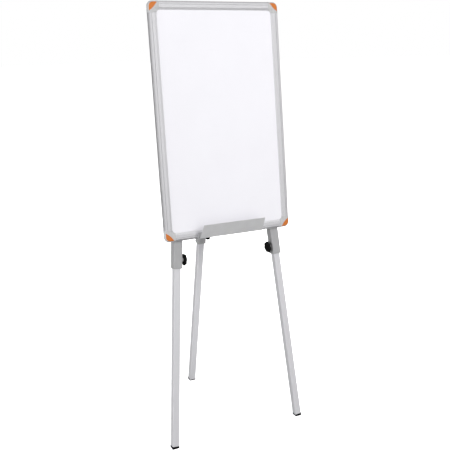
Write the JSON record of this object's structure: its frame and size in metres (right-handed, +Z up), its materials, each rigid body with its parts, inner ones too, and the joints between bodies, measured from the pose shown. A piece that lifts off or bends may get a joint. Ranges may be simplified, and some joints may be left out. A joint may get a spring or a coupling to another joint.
{
  "type": "flipchart easel",
  "caption": "Framed dry-erase board on splayed telescopic front legs and a hinged telescopic rear leg, with a bent sheet pen tray and star-knob tube clamps.",
  "frame": {"origin": "on the floor, in the middle of the standing easel's footprint box", "axes": "+Z up, +X to the right seen from the front, +Y from the writing face towards the rear leg"},
  "size_m": [0.6616, 0.5748, 1.9032],
  "materials": {
    "writing_enamel": "glossy white enamel",
    "core": "raw board edge",
    "backing": "plain sheet",
    "rail_aluminium": "satin anodised",
    "grey_plastic": "matte",
    "orange_plastic": "semi-gloss",
    "tray_paint": "smooth powder coat",
    "tube_paint": "smooth powder coat",
    "inner_tube_metal": "silver metallic paint",
    "bush_plastic": "matte",
    "black_plastic": "satin",
    "pad_brass": "turned",
    "zinc_steel": "zinc plated"
  },
  "bodies": {
    "board": {"board_face": "writing_enamel", "board_core": "core", "board_backing": "backing", "rail_top": "rail_aluminium", "rail_bottom": "rail_aluminium", "rail_left": "rail_aluminium", "rail_right": "rail_aluminium", "corner_top_left": "grey_plastic", "corner_top_right": "grey_plastic", "corner_bottom_left": "grey_plastic", "corner_bottom_right": "grey_plastic", "insert_top_left": "orange_plastic", "insert_top_right": "orange_plastic", "insert_bottom_left": "orange_plastic", "insert_bottom_right": "orange_plastic", "corner_screws": "zinc_steel", "pen_tray": "tray_paint", "tray_screws": "zinc_steel", "front_tube_left": "tube_paint", "front_tube_right": "tube_paint", "tube_plug_left": "black_plastic", "tube_plug_right": "black_plastic", "strap_top_left": "zinc_steel", "strap_top_right": "zinc_steel", "strap_bottom_left": "zinc_steel", "strap_bottom_right": "zinc_steel", "strap_screws": "zinc_steel", "bush_left": "bush_plastic", "bush_right": "bush_plastic", "boss_left": "tube_paint", "boss_right": "tube_paint", "cross_bar": "tube_paint", "hinge_bracket": "zinc_steel", "hinge_pin": "zinc_steel"},
    "leg_left": {"inner_tube_left": "inner_tube_metal", "guide_block_left": "black_plastic", "foot_left": "black_plastic"},
    "pad_left": {"clamp_pad_left": "pad_brass"},
    "knob_left": {"clamp_knob_left": "black_plastic", "clamp_stud_left": "zinc_steel"},
    "leg_right": {"inner_tube_right": "inner_tube_metal", "guide_block_right": "black_plastic", "foot_right": "black_plastic"},
    "pad_right": {"clamp_pad_right": "pad_brass"},
    "knob_right": {"clamp_knob_right": "black_plastic", "clamp_stud_right": "zinc_steel"},
    "leg_rear": {"inner_tube_rear": "inner_tube_metal", "guide_block_rear": "black_plastic", "foot_rear": "black_plastic"},
    "pad_rear": {"clamp_pad_rear": "pad_brass"},
    "knob_rear": {"clamp_knob_rear": "black_plastic", "clamp_stud_rear": "zinc_steel"},
    "rear_strut": {"rear_tube": "tube_paint", "rear_plug": "black_plastic", "bush_rear": "bush_plastic", "boss_rear": "tube_paint"}
  },
  "joints": [
    {"name": "rear_fold", "type": "hinge", "parent": "board", "child": "rear_strut", "pos_m": [0, -0.0135, 1.73843], "axis": [-1, 0, 0], "range_deg": [0, 17.7]},
    {"name": "leg_slide_left", "type": "slide", "parent": "board", "child": "leg_left", "axis": [0.0863, 0.1455, 0.9856], "range_m": [-0.1, 0.76]},
    {"name": "pad_travel_left", "type": "slide", "parent": "board", "child": "pad_left", "axis": [0.9963, -0.0126, -0.0854], "range_m": [0, 0.00124]},
    {"name": "knob_turn_left", "type": "hinge", "parent": "pad_left", "child": "knob_left", "pos_m": [-0.24255, -0.14979, 0.82233], "axis": [0.9963, -0.0126, -0.0854], "range_deg": [0, 360]},
    {"name": "leg_slide_right", "type": "slide", "parent": "board", "child": "leg_right", "axis": [-0.0863, 0.1455, 0.9856], "range_m": [-0.1, 0.76]},
    {"name": "pad_travel_right", "type": "slide", "parent": "board", "child": "pad_right", "axis": [-0.9963, -0.0126, -0.0854], "range_m": [0, 0.00124]},
    {"name": "knob_turn_right", "type": "hinge", "parent": "pad_right", "child": "knob_right", "pos_m": [0.24255, -0.14979, 0.82233], "axis": [-0.9963, -0.0126, -0.0854], "range_deg": [0, 360]},
    {"name": "leg_slide_rear", "type": "slide", "parent": "rear_strut", "child": "leg_rear", "axis": [0, -0.1616, 0.9869], "range_m": [-0.1, 0.76]},
    {"name": "pad_travel_rear", "type": "slide", "parent": "rear_strut", "child": "pad_rear", "axis": [1, 0, 0], "range_m": [0, 0.00124]},
    {"name": "knob_turn_rear", "type": "hinge", "parent": "pad_rear", "child": "knob_rear", "pos_m": [0, 0.13631, 0.82361], "axis": [1, 0, 0], "range_deg": [0, 360]}
  ],
  "couplings": [
    {"joint": "knob_turn_left", "follows": "pad_travel_left", "rad_per_m": 5026.5},
    {"joint": "knob_turn_right", "follows": "pad_travel_right", "rad_per_m": 5026.5},
    {"joint": "knob_turn_rear", "follows": "pad_travel_rear", "rad_per_m": 5026.5}
  ]
}
